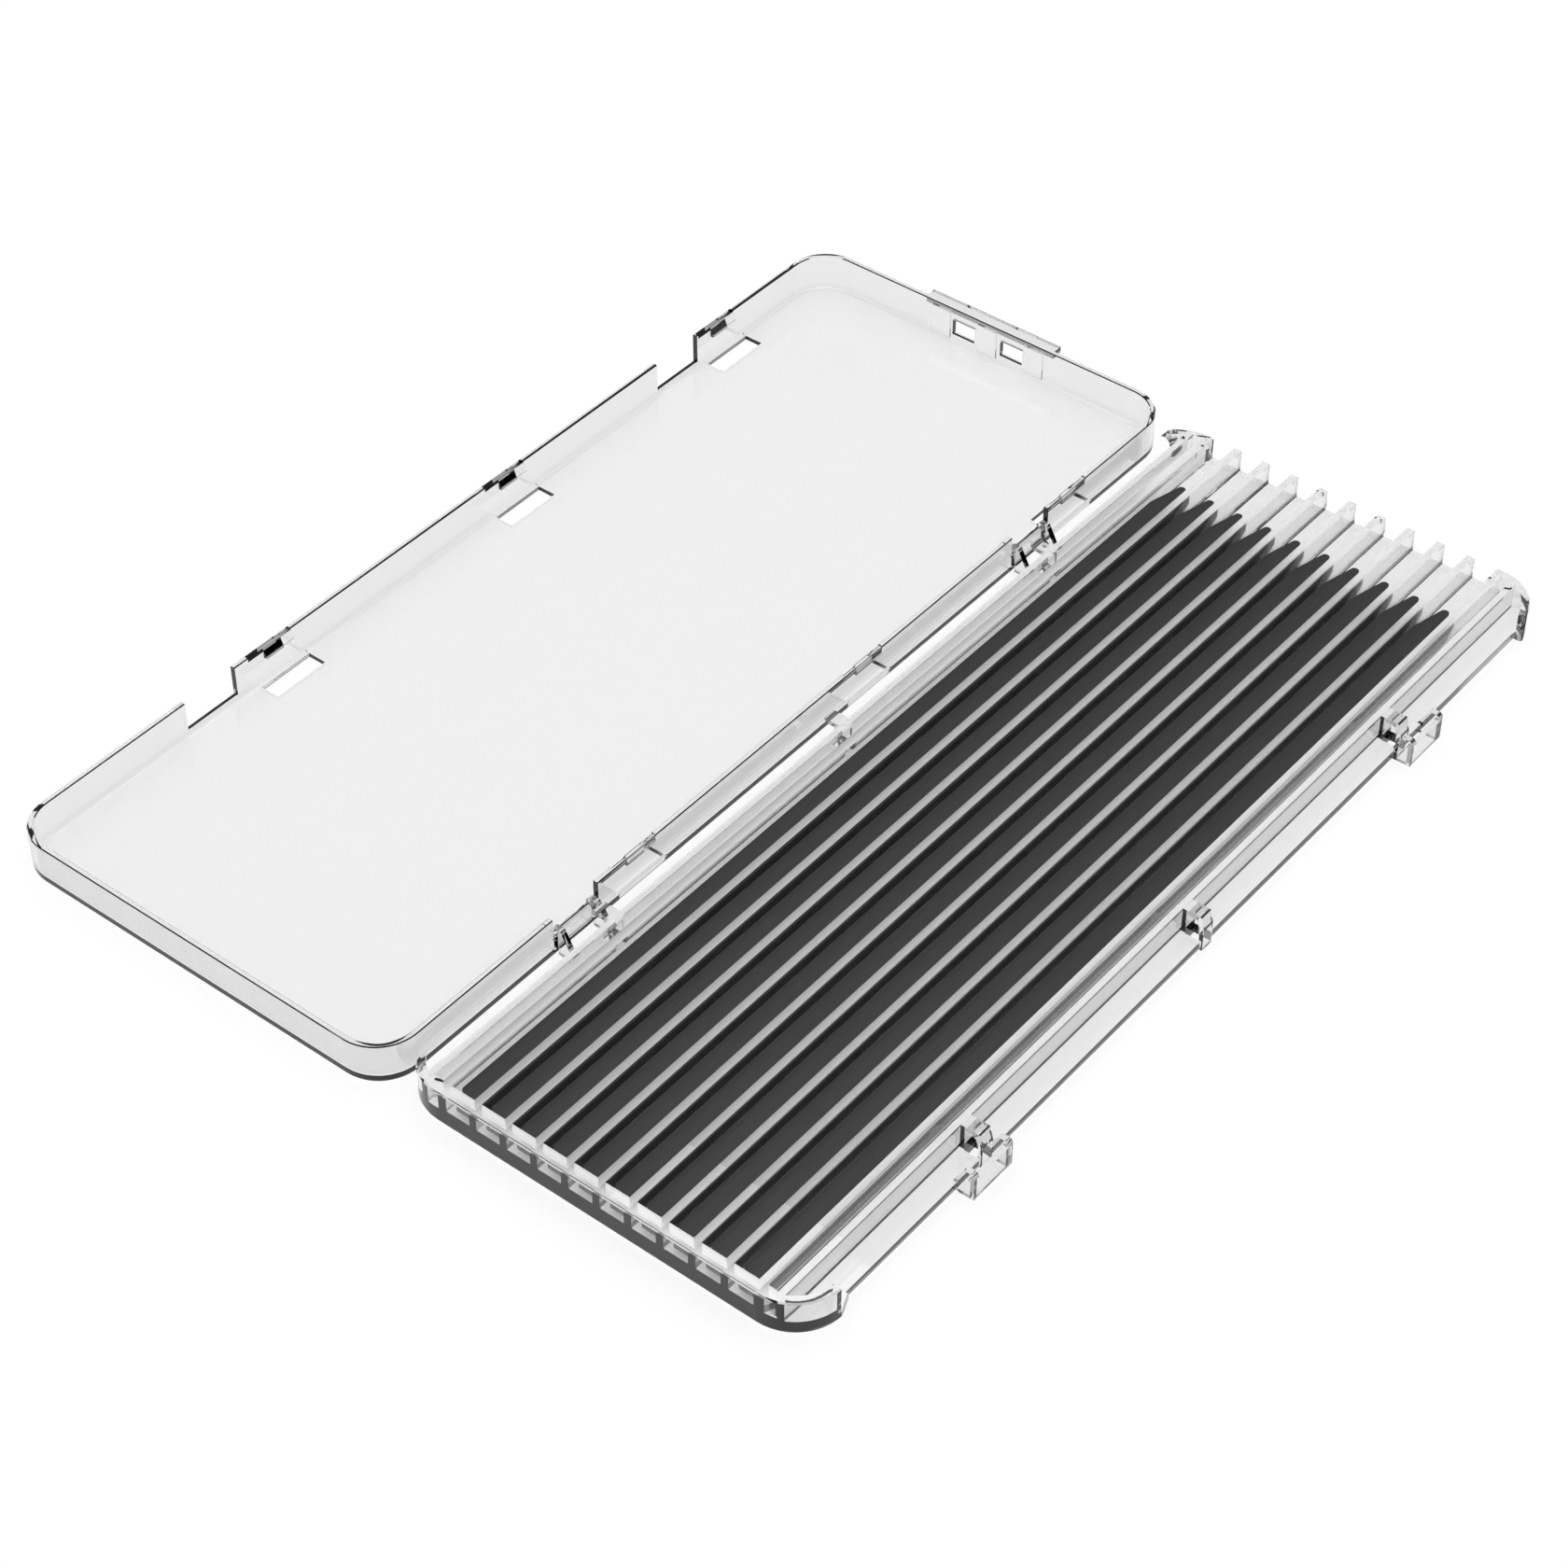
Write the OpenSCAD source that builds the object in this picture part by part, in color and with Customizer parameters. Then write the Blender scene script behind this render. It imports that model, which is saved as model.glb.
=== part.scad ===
// Slim clear storage box with ten flat strips, shown with its lid folded open.
// Millimetres, +Z up. The origin is on the base's underside. The lid hinges on
// the -X side, about an axis along Y, and lies open side up beside the base.

/* [Strips] */
// Number of strips, each in its own channel
strip_count = 10; // [4:1:12]
// Width of a strip
strip_w = 4.7; // [3.5:0.1:7]
// Thickness of a strip
strip_t = 2.85; // [1.5:0.05:4]
// Length of a strip
strip_l = 218.3; // [150:0.1:280]
// Angle of the slanted sides of a strip's far end, from its length
tip_angle = 14; // [10:1:30]
// Radius of the tip between them
tip_r = 0.9; // [0.5:0.05:1.2]
// Distance of the tip to the right of a strip's middle
tip_shift = 0.38; // [0:0.02:0.6]
// Cut on the near corners of a strip
strip_corner_cut = 0.95; // [0.4:0.05:1.5]

/* [Channels] */
// Gap on each side of a strip in its channel
strip_gap = 0.325; // [0.31:0.005:0.6]
// Gap between the near wall and the strips
near_play = 1.2; // [0.5:0.1:6]
// Channel left free past the tips of the strips
far_play = 15.4; // [8:0.1:30]
// Thickness of the dividers between the channels
divider_t = 1.65; // [1.2:0.05:3]
// Thickness of the walls outside the first and the last channel
channel_wall_t = 1.9; // [1.2:0.1:3]
// Depth of the channels
channel_depth = 5.1; // [4.4:0.1:8]
// Rounding along the bottom corners of a channel
channel_fillet = 0.3; // [0.1:0.05:0.3]
// Thickness of the sole under the channels
sole_t = 2.8; // [1.8:0.1:4]
// Width of the square pocket near the tip of a divider
pocket_w = 0.9; // [0.5:0.1:1]
// Length of that pocket
pocket_l = 1.2; // [0.6:0.1:2]
// Distance from the pocket to the end of the divider
pocket_end = 0.7; // [0.5:0.1:2]

/* [Base] */
// Width of the groove between the channels and the outer wall
groove_w = 2.15; // [1:0.05:3]
// Thickness of the wall at a groove's far end
groove_end_t = 1.7; // [1:0.1:3]
// Thickness of the outer long walls
side_wall_t = 1.35; // [1:0.05:2.5]
// Width of the flange past the outer long walls
flange_w = 4.525; // [4:0.025:7]
// Thickness of that flange
flange_t = 2.3; // [1.6:0.1:2.8]
// Thickness of the near wall
near_wall_t = 2.8; // [1.2:0.1:4]
// Thickness of the walls that go round the corners
corner_wall_t = 1.8; // [1.2:0.1:3]
// Outer corner radius
corner_r = 10.4; // [8:0.2:14]
// Distance from the near end to where a near corner's wall stops
corner_near_l = 9.5; // [8:0.1:14]
// Distance from the far end to where a far corner's wall stops
corner_far_l = 8.4; // [6:0.1:14]
// Length over which the foot of a near corner narrows to the flange
foot_taper_l = 4.4; // [2:0.1:8]
// Rounding of the bottom edge, except at the open far end
base_edge_r = 1; // [0.4:0.1:1.2]
// Bevel of the top's outer edge
base_bevel = 0.3; // [0.2:0.05:0.5]
// Gap from the corners to the inside of the closed lid
corner_gap = 0.35; // [0.31:0.01:0.8]

/* [Tabs and brackets] */
// Distance between the three grip tabs of a side
tab_pitch = 67.2; // [40:1:72]
// Length of a tab along the wall
tab_l = 3; // [2:0.1:5]
// Thickness of a tab's top and of its legs
tab_t = 1; // [0.6:0.1:1.2]
// How far a tab's outer leg stands out past the flange
tab_out = 0.3; // [0.1:0.05:0.6]
// Width of the slope between a tab's top and its outer leg
tab_slope_w = 0.8; // [0.4:0.1:1.2]
// Height of that slope
tab_slope_h = 2.9; // [1:0.1:3.5]
// Distance between the two hinge brackets of a side
bracket_pitch = 140; // [80:1:150]
// Length of a bracket along the wall
bracket_l = 11; // [8:0.5:14]
// Thickness of a bracket's ears
ear_t = 1.3; // [1:0.1:2]
// Height of a bracket's ears above the ground
ear_h = 6.3; // [5.9:0.1:7]
// Height of a bracket's outer plate above the ground
bracket_plate_h = 5; // [3:0.1:5.6]
// Gap from a bracket to each end of its notch in the lid
bracket_gap = 0.7; // [0.4:0.1:1.5]
// More room at the far end of an outer notch
notch_extra = 1; // [0:0.1:2]
// Height of the sill that is left in the outer notches
notch_sill = 2.2; // [1.5:0.1:2.5]

/* [Lid] */
// Thickness of the lid's walls
lid_wall = 1.2; // [1.1:0.1:2]
// Thickness of the lid's plate
lid_plate = 1; // [0.8:0.1:2]
// Gap between the base's top and the closed lid's plate
lid_top_gap = 0.3; // [0.3:0.1:1.5]
// Gap between the base's near end and the closed lid
lid_near_gap = 0.65; // [0.5:0.05:2]
// Gap between the base's far end and the closed lid
lid_far_gap = 1.35; // [0.5:0.05:2]
// Outer corner radius of the lid
lid_r = 9.2; // [8:0.2:14]
// Rounding of the lid's bottom edge
lid_edge_r = 1; // [0.4:0.1:1.2]
// Rounding where the walls meet the plate
lid_fillet = 0.8; // [0.4:0.1:0.8]
// Bevel on the edges of the rim
rim_bevel = 0.2; // [0.1:0.05:0.4]

/* [Lid windows and hooks] */
// Length of the windows beside the long walls
window_l = 13.2; // [9:0.1:18]
// Width of these windows
window_w = 4.4; // [4:0.1:7]
// Distance from the wall to a window
window_inset = 0.85; // [0.6:0.05:2]
// Distance between the windows of a side
window_pitch = 68.4; // [40:0.1:75]
// Place of the middle window along Y
window_mid_y = 17.7; // [0:0.1:25]
// How far a hook stands out from the wall
hook_out = 0.8; // [0.5:0.1:1.2]
// Height of a hook
hook_h = 2.2; // [1.5:0.1:4]
// Length of a hook
hook_l = 4.8; // [3:0.1:6]
// Length of the low step past the hook
step_l = 3.2; // [1:0.1:4]
// Distance from the near end of a window to its hook
hook_near = 2.2; // [1:0.1:4]
// Distance from the rim to a hook
hook_drop = 0.4; // [0.2:0.1:1]
// Length of the slope on the rim beside a hook
rim_slope_l = 11.8; // [6:0.1:13]
// Distance that the slope starts before its window
rim_slope_near = 1.9; // [0:0.1:2.5]
// Height of that slope
rim_slope_h = 1; // [0.4:0.1:1.5]
// Width of that slope
rim_slope_w = 0.9; // [0.2:0.1:1]

/* [Hinge and catch] */
// Distance from the sole's edge to the hinge axis
hinge_out = 2.85; // [2.2:0.05:4]
// Gap between the swinging rim and the base
swing_gap = 0.31; // [0.2:0.05:0.8]
// Diameter of the lid's hinge pins
pin_d = 1; // [0.8:0.05:1.1]
// Gap between a pin and its hole, all round
pin_gap = 0.05; // [0.03:0.01:0.1]
// Distance between the two catch windows in the lid's far wall
catch_pitch = 12.8; // [12.6:0.1:14.6]
// Width of a catch window
catch_w = 5.9; // [5:0.1:6.5]
// Height of a catch window
catch_h = 3.75; // [3:0.05:4]
// Distance from the rim to a catch window
catch_depth = 2.9; // [2:0.1:3]
// Share of the far gap that the catch wedges take up
wedge_share = 0.4; // [0.1:0.05:0.7]
// Width of the thumb lip on the far wall
lip_w = 34; // [20:1:60]
// How far the thumb lip stands out
lip_out = 2.1; // [1:0.1:4]
// Thickness of the thumb lip
lip_t = 1.7; // [1:0.1:2.5]
// Distance between the three rubbing pads inside the far wall
pad_pitch = 12.35; // [10:0.05:14]
// Width of a pad
pad_w = 5; // [3:0.1:6]
// Height of a pad
pad_h = 7; // [3:0.1:7]
// How far a pad stands out
pad_out = 0.3; // [0.1:0.05:0.3]

/* [Hidden] */
$fn = 48;
skin = 0.01;    // tiny overlap that joins neighbouring shapes

// Channels and side structure, from the middle outwards
channel_w = strip_w + 2 * strip_gap;
pitch = channel_w + divider_t;
channels_half = (strip_count * pitch - divider_t) / 2 + channel_wall_t;
groove_out_x = channels_half + groove_w;
side_wall_x = groove_out_x + side_wall_t;
flange_x = side_wall_x + flange_w;
base_h = sole_t + channel_depth;

// Lid sizes that follow from the base
lid_h = base_h + lid_top_gap + lid_plate;
hinge_x = flange_x + hinge_out;
hinge_z = lid_h / 2;
lid_half_w = hinge_x + lid_wall / 2;
lid_in_half_w = lid_half_w - lid_wall;
base_half_w = lid_in_half_w - corner_gap;

// Lengths along Y, with the origin in the middle of the lid
channel_l = near_play + strip_l + far_play;
lid_in_half_l = (channel_l + near_wall_t + lid_near_gap + lid_far_gap) / 2;
lid_half_l = lid_in_half_l + lid_wall;
near_y = lid_near_gap - lid_in_half_l;
channel_near_y = near_y + near_wall_t;
far_y = lid_in_half_l - lid_far_gap;
strip_near_y = channel_near_y + near_play;

// Ends of the walls that go round the corners
corner_near_y = near_y + corner_near_l;
corner_far_y = far_y - corner_far_l;

notch_half_l = bracket_l / 2 + bracket_gap;
wedge_out = wedge_share * lid_far_gap;
catch_divider = round(catch_pitch / 2 / pitch - (strip_count % 2) / 2) + (strip_count % 2) / 2;

function channel_x(i) = (i - (strip_count + 1) / 2) * pitch;

// Where the lid's inner wall has curved in from its straight line, at y
function wall_lean(y) =
    let (past = abs(y) - (lid_half_l - lid_r), r = lid_r - lid_wall)
    past <= 0 ? 0 : r - sqrt(max(r * r - past * past, 0));

// Reach of the swinging rim from the hinge axis, with its gap, at y
function swing_reach(y) =
    norm([lid_wall / 2 + wall_lean(y), lid_h / 2]) + swing_gap;

// A rectangle with four round corners
module outline(half_w, y0, y1, r) {
    translate([-half_w, y0 + r]) square([2 * half_w, y1 - y0 - 2 * r]);
    translate([r - half_w, y0]) square([2 * (half_w - r), y1 - y0]);
    for (x = [r - half_w, half_w - r], y = [y0 + r, y1 - r])
        translate([x, y]) circle(r);
}

// Carries a profile round such an outline: x is the distance from a corner's centre
module round_outline(half_w, y0, y1, r) {
    cx = half_w - r;
    cy = (y1 - y0) / 2 - r;
    for (side = [0, 1]) {
        translate([0, (y0 + y1) / 2, 0]) rotate([0, 0, 180 * side]) {
            translate([cx, cy, 0]) rotate([90, 0, 0]) linear_extrude(2 * cy) children();
            rotate([0, 0, 90]) translate([cy, cx, 0]) rotate([90, 0, 0])
                linear_extrude(2 * cx) children();
            translate([cx, cy, 0]) rotate_extrude(angle = 90) children();
            translate([-cx, cy, 0]) rotate([0, 0, 90]) rotate_extrude(angle = 90) children();
        }
    }
}

// Section of the lid's wall, with its rounded bottom edge and bevelled rim
module lid_wall_section() {
    inner = lid_r - lid_wall;
    difference() {
        polygon([
            [inner - lid_fillet, 0], [lid_r - lid_edge_r, 0], [lid_r, lid_edge_r],
            [lid_r, lid_h - rim_bevel], [lid_r - rim_bevel, lid_h],
            [inner + rim_bevel, lid_h], [inner, lid_h - rim_bevel],
            [inner, lid_plate + lid_fillet], [inner - lid_fillet, lid_plate + lid_fillet]
        ]);
        translate([inner - lid_fillet, lid_plate + lid_fillet]) circle(lid_fillet);
    }
    translate([lid_r - lid_edge_r, lid_edge_r]) intersection() {
        circle(lid_edge_r);
        translate([0, -lid_edge_r]) square(lid_edge_r);
    }
}

// Everything that repeats along a long wall of the lid is drawn from its inner
// face at x = 0, with +X out through the wall and the rim at z = 0
module at_long_walls(places) {
    for (side = [0, 1], y = places)
        mirror([side, 0, 0]) translate([lid_in_half_w, y, lid_h]) children();
}

module lid_windows() {
    at_long_walls([for (i = [-1:1]) window_mid_y + i * window_pitch]) {
        translate([-window_inset - window_w, -window_l / 2, -lid_h - 1])
            cube([window_w, window_l, lid_plate + 2]);
        translate([-window_inset - window_w, -window_l / 2, lid_plate - lid_h])
            cube([window_inset + window_w, window_l, lid_fillet + skin]);
        translate([0, -window_l / 2 - rim_slope_near, 0]) rotate([-90, 0, 0])
            linear_extrude(rim_slope_l)
                polygon([[-1, -1], [rim_slope_w, -1], [rim_slope_w, 0], [0, rim_slope_h],
                         [-1, rim_slope_h]]);
    }
}

// Notches for the brackets, down to the plate on the hinge side
module lid_notches() {
    for (side = [0, 1], y = [-bracket_pitch / 2, bracket_pitch / 2]) {
        floor_z = side == 0 ? lid_plate : notch_sill;
        extra = side == 0 ? 0 : notch_extra;
        mirror([side, 0, 0])
            translate([lid_in_half_w - lid_fillet - 0.5, y - notch_half_l, floor_z])
                cube([lid_fillet + lid_wall + 1.5, 2 * notch_half_l + extra, lid_h]);
    }
}

// Section of a hook: flush near the rim, with a ledge that faces the plate
module hook_section(out) {
    foot = hook_drop + hook_h;
    polygon([[lid_wall - 0.4, -hook_drop], [0, -hook_drop], [-out, 0.3 - foot], [-out, -foot],
             [lid_wall - 0.4, -foot]]);
}

module lid_hooks() {
    at_long_walls([for (i = [-1:1]) window_mid_y + i * window_pitch])
        translate([0, -window_l / 2 + hook_near, 0]) rotate([90, 0, 0]) mirror([0, 0, 1]) {
            linear_extrude(hook_l) hook_section(hook_out);
            translate([0, 0, hook_l - skin])
                linear_extrude(step_l + skin) hook_section(hook_out / 2);
        }
}

// Pins that reach from the ends of the hinge-side notches into the brackets
module hinge_pins() {
    reach = bracket_gap + ear_t - 0.1;
    for (y = [-bracket_pitch / 2, bracket_pitch / 2], end = [-1, 1])
        translate([hinge_x, y + end * (notch_half_l + 1), hinge_z])
            rotate([90 * end, 0, 0]) cylinder(d = pin_d, h = reach + 1);
}

// Thumb lip and rubbing pads on the lid's far wall
module far_wall_details() {
    translate([-lip_w / 2, lid_half_l - lid_wall / 2, lid_h - lip_t])
        cube([lip_w, lid_wall / 2 + lip_out, lip_t]);
    for (i = [-1:1])
        translate([i * pad_pitch - pad_w / 2, lid_in_half_l - pad_out, lid_plate + 0.4])
            cube([pad_w, pad_out + 0.2, pad_h]);
}

module catch_windows() {
    for (x = [-catch_pitch / 2, catch_pitch / 2])
        translate([x - catch_w / 2, lid_in_half_l - 1, lid_h - catch_depth - catch_h])
            cube([catch_w, lid_wall + 2, catch_h]);
}

// The lid, drawn about its own middle with its hinge side towards +X
module lid_body() {
    difference() {
        union() {
            round_outline(lid_half_w, -lid_half_l, lid_half_l, lid_r) lid_wall_section();
            linear_extrude(lid_plate)
                outline(lid_half_w - lid_edge_r, lid_edge_r - lid_half_l,
                        lid_half_l - lid_edge_r, lid_r - lid_edge_r);
            far_wall_details();
        }
        lid_windows();
        lid_notches();
        catch_windows();
    }
    lid_hooks();
    hinge_pins();
}

// Space that the swinging rim sweeps round the hinge axis
module swing_space() {
    ends = [for (y = [lid_half_l - lid_r:1.5:far_y + 1.5]) y];
    ys = concat([for (i = [len(ends) - 1:-1:0]) -ends[i]], ends);
    translate([-hinge_x, 0, hinge_z]) rotate([-90, 0, 0]) rotate_extrude()
        polygon(concat([[0, ys[0]]], [for (y = ys) [swing_reach(y), y]],
                       [[0, ys[len(ys) - 1]]]));
}

// Section of the base's outer edge, rounded below and bevelled above
module base_edge_section() {
    inner = corner_r - base_edge_r - 1;
    polygon([
        [inner, 0], [corner_r - base_edge_r, 0], [corner_r, base_edge_r],
        [corner_r, base_h - base_bevel], [corner_r - base_bevel, base_h], [inner, base_h]
    ]);
    translate([corner_r - base_edge_r, base_edge_r]) circle(base_edge_r);
}

module base_body() {
    inset = base_edge_r + 0.5;
    round_outline(base_half_w, near_y, far_y, corner_r) base_edge_section();
    linear_extrude(base_h)
        outline(base_half_w - inset, near_y + inset, far_y - inset, corner_r - inset);
    translate([0, far_y - inset - 1, 0]) linear_extrude(base_h / 2)
        translate([corner_r - base_half_w, 0])
            square([2 * (base_half_w - corner_r), inset + 1]);
}

// What a rounded bottom edge leaves free, with the edge's outer face at x = 0
module under_edge_section() {
    difference() {
        translate([-base_edge_r, -1]) square([base_edge_r + 1, base_edge_r + 1]);
        translate([-base_edge_r, base_edge_r]) circle(base_edge_r);
    }
}

// Recess along a side, past the outer wall: open above the flange, and closed
// at its ends by the walls that go round the corners
module side_recess() {
    t = corner_wall_t;
    slope = (base_half_w - flange_x) / foot_taper_l;
    translate([0, 0, flange_t]) linear_extrude(base_h) difference() {
        union() {
            outline(base_half_w - t, near_y + t, far_y - t, corner_r - t);
            translate([0, corner_near_y])
                square([lid_half_w + 1, corner_far_y - corner_near_y]);
        }
        translate([-lid_half_w, -lid_half_l])
            square([lid_half_w + side_wall_x, 2 * lid_half_l]);
    }
    translate([0, 0, -1]) linear_extrude(base_h + 2)
        polygon([
            [flange_x, corner_near_y + foot_taper_l], [base_half_w + slope, corner_near_y - 1],
            [lid_half_w + 1, corner_near_y - 1], [lid_half_w + 1, corner_far_y],
            [flange_x, corner_far_y]
        ]);
    edge_near_y = corner_near_y + foot_taper_l;
    translate([flange_x, corner_far_y, 0]) rotate([90, 0, 0])
        linear_extrude(corner_far_y - edge_near_y) under_edge_section();
}

// Section of a channel: open above, with rounded bottom corners
module channel_section() {
    r = channel_fillet;
    translate([-channel_w / 2, r]) square([channel_w, channel_depth + 1 - r]);
    translate([r - channel_w / 2, 0]) square([channel_w - 2 * r, channel_depth + 1]);
    for (side = [-1, 1])
        translate([side * (channel_w / 2 - r), r]) circle(r);
}

// Channels, grooves and recesses cut from above
module base_cuts() {
    for (i = [1:strip_count])
        translate([channel_x(i), far_y + 1, sole_t]) rotate([90, 0, 0])
            linear_extrude(far_y + 1 - channel_near_y) channel_section();
    for (side = [0, 1]) mirror([side, 0, 0]) {
        translate([channels_half, channel_near_y, flange_t])
            cube([groove_w, far_y - groove_end_t - channel_near_y, base_h]);
        side_recess();
    }
}

// Square pockets in the tops of the dividers, near their far ends
module divider_pockets() {
    for (i = [1:strip_count + 1])
        translate([channel_x(i) - pitch / 2 - pocket_w / 2, far_y - pocket_end - pocket_l,
                   base_h - 1])
            cube([pocket_w, pocket_l, 2]);
}

// Wedges on the ends of two dividers, for the catch windows in the lid
module catch_wedges() {
    for (side = [-1, 1])
        translate([side * catch_divider * pitch + divider_t / 2, far_y, 0])
            rotate([90, 0, -90]) linear_extrude(divider_t)
                polygon([[0.5, base_h - 0.5], [0, base_h - 0.5], [-wedge_out, sole_t + 0.8],
                         [0, sole_t + 0.2], [0.5, sole_t + 0.2]]);
}

// Grip tabs: bridges from the outer wall to the flange's edge, open beneath.
// The given distance is how far their legs stand out past the flange.
module tab_shape(out) {
    leg = flange_w + out;
    polygon([[-side_wall_t / 2, 0], [-side_wall_t / 2, base_h], [leg - tab_slope_w, base_h],
             [leg, base_h - tab_slope_h], [leg, 0]]);
}

// What is open under a tab, down through the flange
module tab_opening(out) {
    leg = flange_w + out - tab_t;
    top = base_h - tab_t;
    polygon([[tab_t, -1], [tab_t, top], [leg - tab_slope_w * 0.75, top],
             [leg, top - tab_slope_h * 0.75], [leg, -1]]);
}

module at_tabs(side, l) {
    for (i = [-1:1])
        mirror([side, 0, 0]) translate([side_wall_x, i * tab_pitch + l / 2, 0])
            rotate([90, 0, 0]) linear_extrude(l) children();
}

module tabs() {
    at_tabs(0, tab_l) tab_shape(tab_out);
    at_tabs(1, tab_l) tab_shape(0);
}

module tab_openings() {
    at_tabs(0, tab_l + 0.3) tab_opening(tab_out);
    at_tabs(1, tab_l + 0.3) tab_opening(0);
}

// A bracket: two ears that rise from the flange, joined by an outer plate.
// Its underside stops at the given height where the open lid's plate lies
// below it.
module bracket(low) {
    out_x = lid_half_w + 0.15;
    inner_x = flange_x - 1.2;
    plate_x = out_x - lid_wall;
        rotate([90, 0, 0]) {
        for (z = [-bracket_l / 2, bracket_l / 2 - ear_t])
            translate([0, 0, z]) linear_extrude(ear_t) difference() {
                polygon([[inner_x, 0.15], [base_half_w, 0.15], [base_half_w, low], [out_x, low],
                         [out_x, ear_h - 0.6], [out_x - 0.6, ear_h],
                         [hinge_x - 1.6, ear_h], [inner_x, flange_t - 0.6]]);
                translate([hinge_x, hinge_z]) circle(pin_d / 2 + pin_gap);
            }
        translate([plate_x, low, -bracket_l / 2])
            cube([lid_wall, bracket_plate_h - low, bracket_l]);
    }
}

// Holes that the pins reach into, cut through the plate's ends as well
module bracket_holes() {
    for (y = [-bracket_pitch / 2, bracket_pitch / 2], end = [-1, 1])
        translate([-hinge_x, y + end * (bracket_l / 2 + 1), hinge_z])
            rotate([90 * end, 0, 0])
                cylinder(r = pin_d / 2 + pin_gap, h = ear_t + 1 + pin_gap);
}

module brackets() {
    for (y = [-bracket_pitch / 2, bracket_pitch / 2]) {
        translate([0, y, 0]) bracket(0.15);
        mirror([1, 0, 0]) translate([0, y, 0]) bracket(lid_plate + 0.4);
    }
}

module lid() {
    color("white") translate([-2 * hinge_x, 0, 0]) lid_body();
}

module base() {
    color("gainsboro") {
        difference() {
            union() {
                difference() {
                    base_body();
                    base_cuts();
                }
                tabs();
                catch_wedges();
            }
            divider_pockets();
            tab_openings();
            swing_space();
        }
        difference() {
            brackets();
            bracket_holes();
        }
    }
}

// A strip, drawn with its channel's middle at x = 0
module strip() {
    half_w = strip_w / 2;
    cut = strip_corner_cut;
    tip_y = strip_l - tip_r;
    side_x = tip_r * cos(tip_angle);
    side_y = tip_y + tip_r * sin(tip_angle);
    left_y = side_y - (half_w + tip_shift - side_x) / tan(tip_angle);
    right_y = side_y - (half_w - tip_shift - side_x) / tan(tip_angle);
    linear_extrude(strip_t) {
        polygon([
            [cut - half_w, 0], [half_w - cut, 0], [half_w, cut], [half_w, right_y],
            [tip_shift + side_x, side_y], [tip_shift - side_x, side_y], [-half_w, left_y],
            [-half_w, cut]
        ]);
        translate([tip_shift, tip_y]) circle(tip_r);
    }
}

lid();
base();
for (i = [1:strip_count])
    color("dimgray") translate([channel_x(i), strip_near_y, sole_t]) strip();
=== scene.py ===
"""Looks of the slim clear storage box: clear moulded plastic, dark strips, a plain studio."""
import math

import bpy
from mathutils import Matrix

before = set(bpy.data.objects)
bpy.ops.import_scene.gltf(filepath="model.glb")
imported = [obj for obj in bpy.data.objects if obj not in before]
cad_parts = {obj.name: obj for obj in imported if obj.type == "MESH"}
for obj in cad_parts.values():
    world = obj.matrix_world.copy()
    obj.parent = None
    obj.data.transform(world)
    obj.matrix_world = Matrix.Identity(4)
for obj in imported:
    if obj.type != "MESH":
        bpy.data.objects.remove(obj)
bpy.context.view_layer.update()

MM = 0.001

# What is left of light that passes once through the clear plastic
CLEAR_TINT = (0.81, 0.81, 0.81)
SHADOW_TINT = 0.96

# How strongly the clear plastic bends light
PLASTIC_IOR = 1.5

# Darkest and palest tone of the strips, and how much their grain is drawn out lengthwise
STRIP_DARK = (0.022, 0.022, 0.022)
STRIP_PALE = (0.032, 0.032, 0.032)
GRAIN_STRETCH = (1, 0.06, 1)

# Half width of the floor in metres, its drop below the box, and the glow that lifts it to white
FLOOR_HALF = 3.0
FLOOR_DROP = 0.2 * MM
FLOOR_GLOW = 0.32

# Light of the sky at the horizon and above
HORIZON = (0.3, 0.3, 0.3)
SKY = (0.45, 0.45, 0.45)

# Lamp above the box, in metres, degrees and watts
LAMP_PLACE = (-0.1, 0.1, 1.2)
LAMP_TURN_DEG = (0, 0, 0)
LAMP_SIZE = (1.2, 1.2)
LAMP_WATTS = 7

# Camera, solved from the photo's parallel edges
LENS_MM = 84.285
CAMERA_PLACE = (0.27925, -0.41515, 0.4752)
CAMERA_TURN_DEG = (47.263, 0.0, 38.773)


def degrees(*angles):
    """Angles given in degrees, turned into radians."""
    return [math.radians(angle) for angle in angles]


def new_material(name):
    """An empty material with an output, and its node tree."""
    mat = bpy.data.materials.new(name)
    mat.use_nodes = True
    tree = mat.node_tree
    tree.nodes.clear()
    return mat, tree, tree.nodes.new("ShaderNodeOutputMaterial")


def new_group(name, inputs, outputs):
    """A shader node group with named sockets, and its inner input and output nodes."""
    group = bpy.data.node_groups.new(name, "ShaderNodeTree")
    for label, kind, value in inputs:
        socket = group.interface.new_socket(label, in_out="INPUT", socket_type=kind)
        if value is not None:
            socket.default_value = value
    for label, kind in outputs:
        group.interface.new_socket(label, in_out="OUTPUT", socket_type=kind)
    return group, group.nodes.new("NodeGroupInput"), group.nodes.new("NodeGroupOutput")


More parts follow.
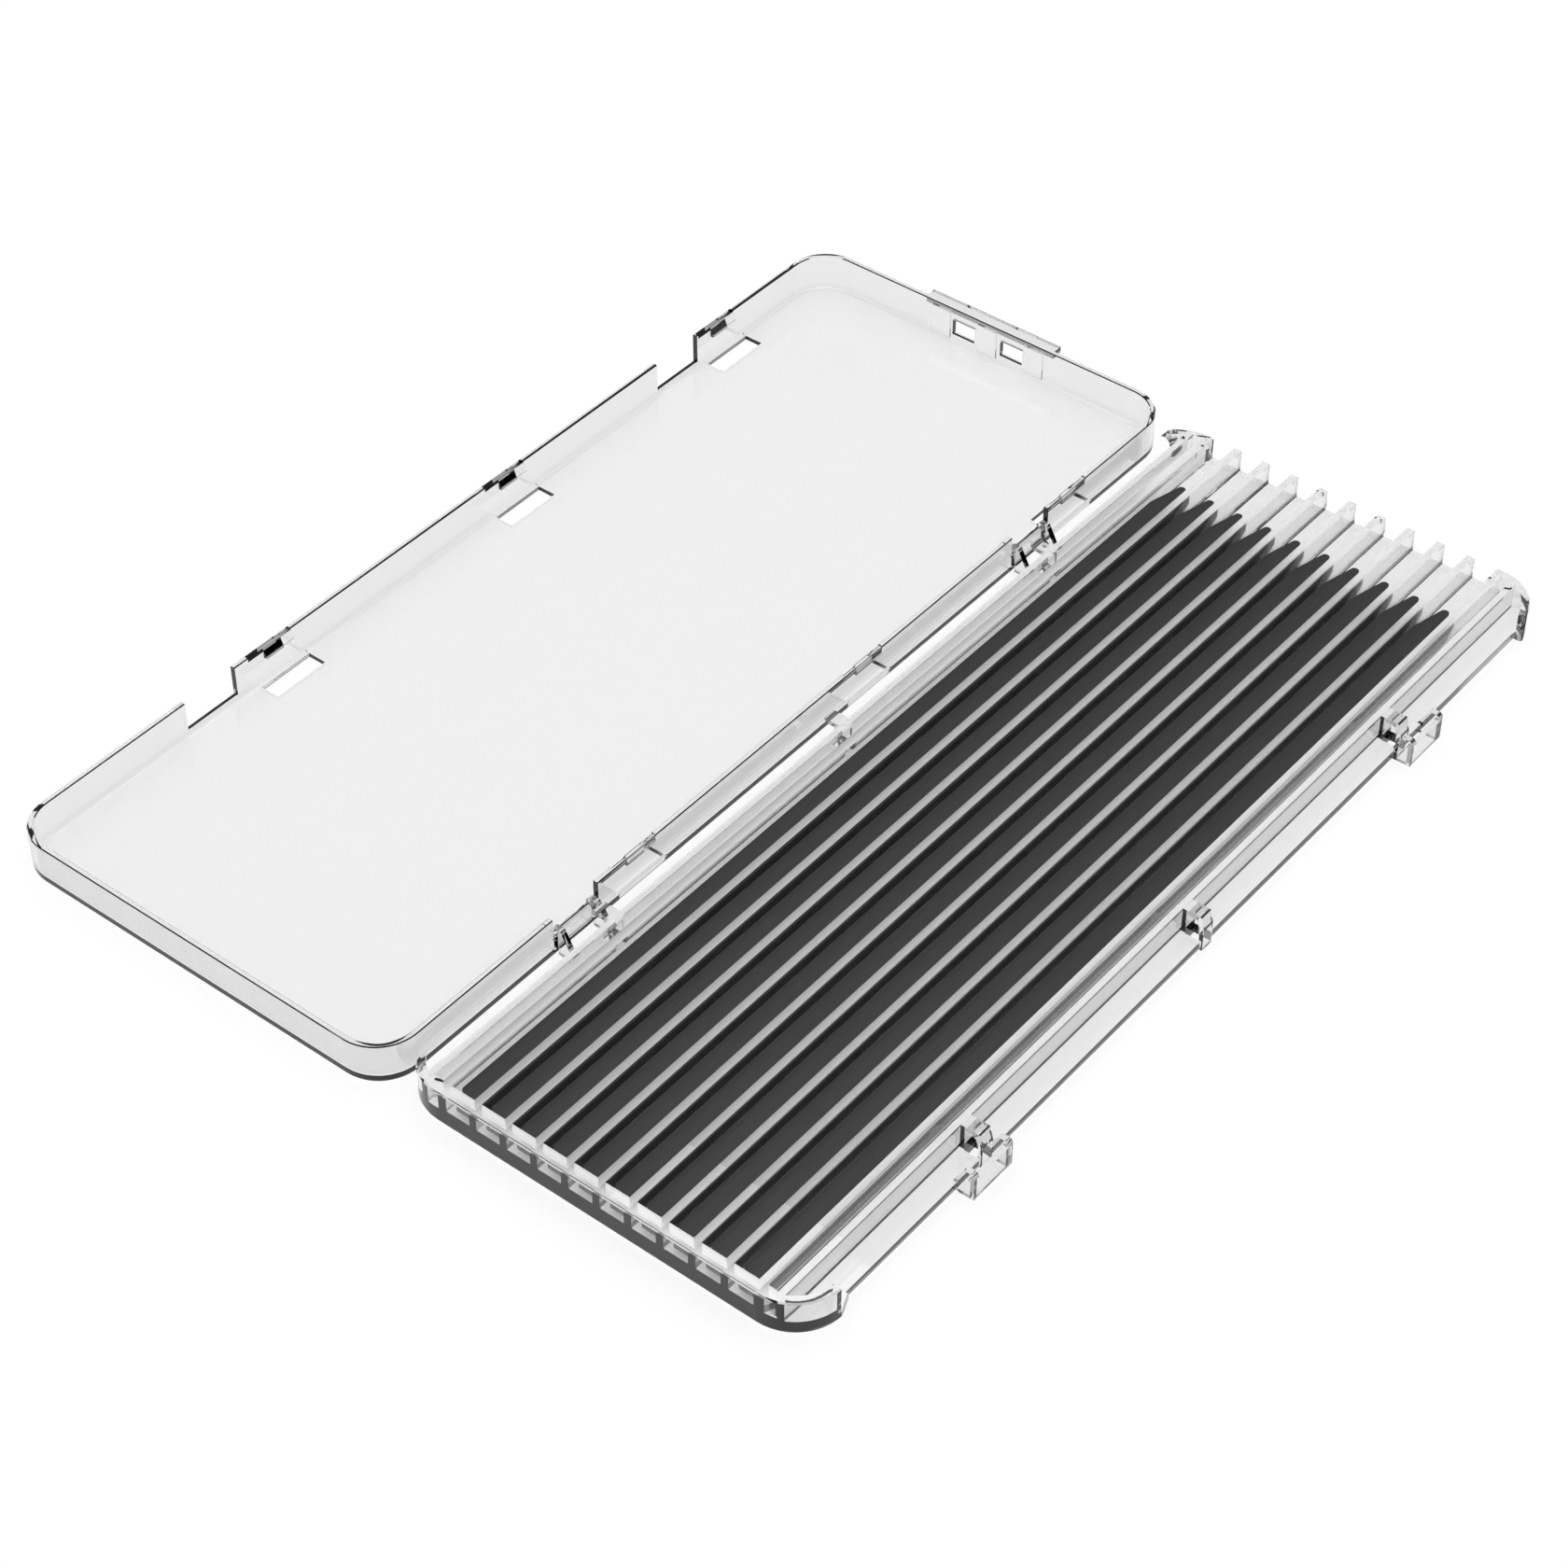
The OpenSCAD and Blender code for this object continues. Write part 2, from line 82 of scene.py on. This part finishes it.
def moulding_marks():
    """Faint waviness and handling marks of a moulded surface: a roughness and a bump height."""
    group, inp, out = new_group(
        "moulding_marks",
        [
            ("Least Roughness", "NodeSocketFloat", 0.02),
            ("Most Roughness", "NodeSocketFloat", 0.1),
            ("Flow Scale", "NodeSocketFloat", 30.0),
            ("Mark Scale", "NodeSocketFloat", 900.0),
        ],
        [("Roughness", "NodeSocketFloat"), ("Height", "NodeSocketFloat")],
    )
    link = group.links.new
    place = group.nodes.new("ShaderNodeTexCoord")
    flow = group.nodes.new("ShaderNodeTexNoise")
    flow.inputs["Detail"].default_value = 2
    link(place.outputs["Object"], flow.inputs["Vector"])
    link(inp.outputs["Flow Scale"], flow.inputs["Scale"])
    marks = group.nodes.new("ShaderNodeTexNoise")
    marks.inputs["Detail"].default_value = 4
    link(place.outputs["Object"], marks.inputs["Vector"])
    link(inp.outputs["Mark Scale"], marks.inputs["Scale"])
    rough = group.nodes.new("ShaderNodeMapRange")
    rough.inputs["From Min"].default_value = 0.4
    rough.inputs["From Max"].default_value = 0.75
    link(flow.outputs["Fac"], rough.inputs["Value"])
    link(inp.outputs["Least Roughness"], rough.inputs["To Min"])
    link(inp.outputs["Most Roughness"], rough.inputs["To Max"])
    height = group.nodes.new("ShaderNodeMath")
    height.operation = "MULTIPLY_ADD"
    height.inputs[1].default_value = 0.15
    link(marks.outputs["Fac"], height.inputs[0])
    link(flow.outputs["Fac"], height.inputs[2])
    link(rough.outputs["Result"], out.inputs["Roughness"])
    link(height.outputs["Value"], out.inputs["Height"])
    return group


def clear_plastic(name, marks):
    """Clear moulded plastic that bends light; its shadow stays pale, as light passes through."""
    mat, tree, out = new_material(name)
    link = tree.links.new
    body = tree.nodes.new("ShaderNodeBsdfPrincipled")
    body.inputs["Transmission Weight"].default_value = 1.0
    body.inputs["IOR"].default_value = PLASTIC_IOR
    body.inputs["Base Color"].default_value = (*CLEAR_TINT, 1)
    wear = tree.nodes.new("ShaderNodeGroup")
    wear.node_tree = marks
    wear.inputs["Least Roughness"].default_value = 0.0
    wear.inputs["Most Roughness"].default_value = 0.01
    bump = tree.nodes.new("ShaderNodeBump")
    bump.inputs["Strength"].default_value = 0.03
    bump.inputs["Distance"].default_value = 0.05 * MM
    link(wear.outputs["Roughness"], body.inputs["Roughness"])
    link(wear.outputs["Height"], bump.inputs["Height"])
    link(bump.outputs["Normal"], body.inputs["Normal"])
    shadow = tree.nodes.new("ShaderNodeBsdfTransparent")
    shadow.inputs["Color"].default_value = (SHADOW_TINT, SHADOW_TINT, SHADOW_TINT, 1)
    path = tree.nodes.new("ShaderNodeLightPath")
    mix = tree.nodes.new("ShaderNodeMixShader")
    link(path.outputs["Is Shadow Ray"], mix.inputs[0])
    link(body.outputs["BSDF"], mix.inputs[1])
    link(shadow.outputs["BSDF"], mix.inputs[2])
    link(mix.outputs["Shader"], out.inputs["Surface"])
    return mat


def dark_strip(name, marks):
    """Near-black satin plastic with a faint drawn grain along its length."""
    mat, tree, out = new_material(name)
    link = tree.links.new
    body = tree.nodes.new("ShaderNodeBsdfPrincipled")
    place = tree.nodes.new("ShaderNodeTexCoord")
    stretch = tree.nodes.new("ShaderNodeMapping")
    stretch.inputs["Scale"].default_value = GRAIN_STRETCH
    grain = tree.nodes.new("ShaderNodeTexNoise")
    grain.inputs["Scale"].default_value = 2500
    grain.inputs["Detail"].default_value = 3
    tone = tree.nodes.new("ShaderNodeValToRGB")
    tone.color_ramp.elements[0].position = 0.3
    tone.color_ramp.elements[0].color = (*STRIP_DARK, 1)
    tone.color_ramp.elements[1].position = 0.7
    tone.color_ramp.elements[1].color = (*STRIP_PALE, 1)
    link(place.outputs["Object"], stretch.inputs["Vector"])
    link(stretch.outputs["Vector"], grain.inputs["Vector"])
    link(grain.outputs["Fac"], tone.inputs["Fac"])
    link(tone.outputs["Color"], body.inputs["Base Color"])
    wear = tree.nodes.new("ShaderNodeGroup")
    wear.node_tree = marks
    wear.inputs["Least Roughness"].default_value = 0.42
    wear.inputs["Most Roughness"].default_value = 0.52
    link(wear.outputs["Roughness"], body.inputs["Roughness"])
    bump = tree.nodes.new("ShaderNodeBump")
    bump.inputs["Strength"].default_value = 0.15
    bump.inputs["Distance"].default_value = 0.02 * MM
    link(grain.outputs["Fac"], bump.inputs["Height"])
    link(bump.outputs["Normal"], body.inputs["Normal"])
    link(body.outputs["BSDF"], out.inputs["Surface"])
    return mat


def finish_nodes():
    """Gives each CAD node its finished material."""
    marks = moulding_marks()
    lid_finish = clear_plastic("clear_lid_plastic", marks)
    base_finish = clear_plastic("clear_base_plastic", marks)
    strip_finish = dark_strip("dark_strip_plastic", marks)
    finish_of = {"lid": lid_finish, "base": base_finish}
    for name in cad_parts:
        for slot in bpy.data.objects[name].material_slots:
            slot.material = finish_of.get(name, strip_finish)


def white_to_eye(tree):
    """1 where the eye, gloss or clear plastic looks, and 0 where only soft light does."""
    path = tree.nodes.new("ShaderNodeLightPath")
    seen = path.outputs["Is Camera Ray"]
    for ray in ("Is Glossy Ray", "Is Transmission Ray"):
        most = tree.nodes.new("ShaderNodeMath")
        most.operation = "MAXIMUM"
        tree.links.new(seen, most.inputs[0])
        tree.links.new(path.outputs[ray], most.inputs[1])
        seen = most.outputs["Value"]
    return seen


def studio_floor():
    """A pale floor under the box, white where the eye meets it apart from the shadow."""
    mesh = bpy.data.meshes.new("studio_floor")
    turns = ((-1, -1), (1, -1), (1, 1), (-1, 1))
    corners = [(x * FLOOR_HALF, y * FLOOR_HALF, -FLOOR_DROP) for x, y in turns]
    mesh.from_pydata(corners, [], [(0, 1, 2, 3)])
    floor = bpy.data.objects.new("studio_floor", mesh)
    bpy.context.scene.collection.objects.link(floor)
    mat, tree, out = new_material("pale_floor")
    paint = tree.nodes.new("ShaderNodeBsdfDiffuse")
    paint.inputs["Color"].default_value = (0.9, 0.9, 0.9, 1)
    glow = tree.nodes.new("ShaderNodeEmission")
    strength = tree.nodes.new("ShaderNodeMath")
    strength.operation = "MULTIPLY"
    strength.inputs[1].default_value = FLOOR_GLOW
    tree.links.new(white_to_eye(tree), strength.inputs[0])
    tree.links.new(strength.outputs["Value"], glow.inputs["Strength"])
    add = tree.nodes.new("ShaderNodeAddShader")
    tree.links.new(paint.outputs["BSDF"], add.inputs[0])
    tree.links.new(glow.outputs["Emission"], add.inputs[1])
    tree.links.new(add.outputs["Shader"], out.inputs["Surface"])
    mesh.materials.append(mat)


def area_lamp(name, place, turn_deg, size, watts):
    """A rectangular lamp, turned from pointing straight down."""
    lamp = bpy.data.lights.new(name, "AREA")
    lamp.shape = "RECTANGLE"
    lamp.size, lamp.size_y = size
    lamp.energy = watts
    obj = bpy.data.objects.new(name, lamp)
    obj.location = place
    obj.rotation_euler = degrees(*turn_deg)
    bpy.context.scene.collection.objects.link(obj)


def studio_world():
    """Light from above that is dimmer near the horizon."""
    world = bpy.data.worlds.new("studio")
    world.use_nodes = True
    tree = world.node_tree
    tree.nodes.clear()
    out = tree.nodes.new("ShaderNodeOutputWorld")
    place = tree.nodes.new("ShaderNodeTexCoord")
    split = tree.nodes.new("ShaderNodeSeparateXYZ")
    ramp = tree.nodes.new("ShaderNodeValToRGB")
    ramp.color_ramp.elements[0].position = 0.0
    ramp.color_ramp.elements[0].color = (*HORIZON, 1)
    ramp.color_ramp.elements[1].position = 0.7
    ramp.color_ramp.elements[1].color = (*SKY, 1)
    light = tree.nodes.new("ShaderNodeBackground")
    tree.links.new(place.outputs["Generated"], split.inputs["Vector"])
    tree.links.new(split.outputs["Z"], ramp.inputs["Fac"])
    tree.links.new(ramp.outputs["Color"], light.inputs["Color"])
    tree.links.new(light.outputs["Background"], out.inputs["Surface"])
    bpy.context.scene.world = world


def camera():
    """The photo's viewpoint."""
    cam = bpy.data.cameras.new("camera")
    cam.lens = LENS_MM
    cam.sensor_width = 36
    cam.sensor_fit = "HORIZONTAL"
    cam.clip_start = 0.01
    obj = bpy.data.objects.new("camera", cam)
    obj.location = CAMERA_PLACE
    obj.rotation_euler = degrees(*CAMERA_TURN_DEG)
    bpy.context.scene.collection.objects.link(obj)
    bpy.context.scene.camera = obj


finish_nodes()
studio_floor()
studio_world()
area_lamp("top_light", LAMP_PLACE, LAMP_TURN_DEG, LAMP_SIZE, LAMP_WATTS)
camera()
bpy.context.scene.view_settings.view_transform = "Standard"
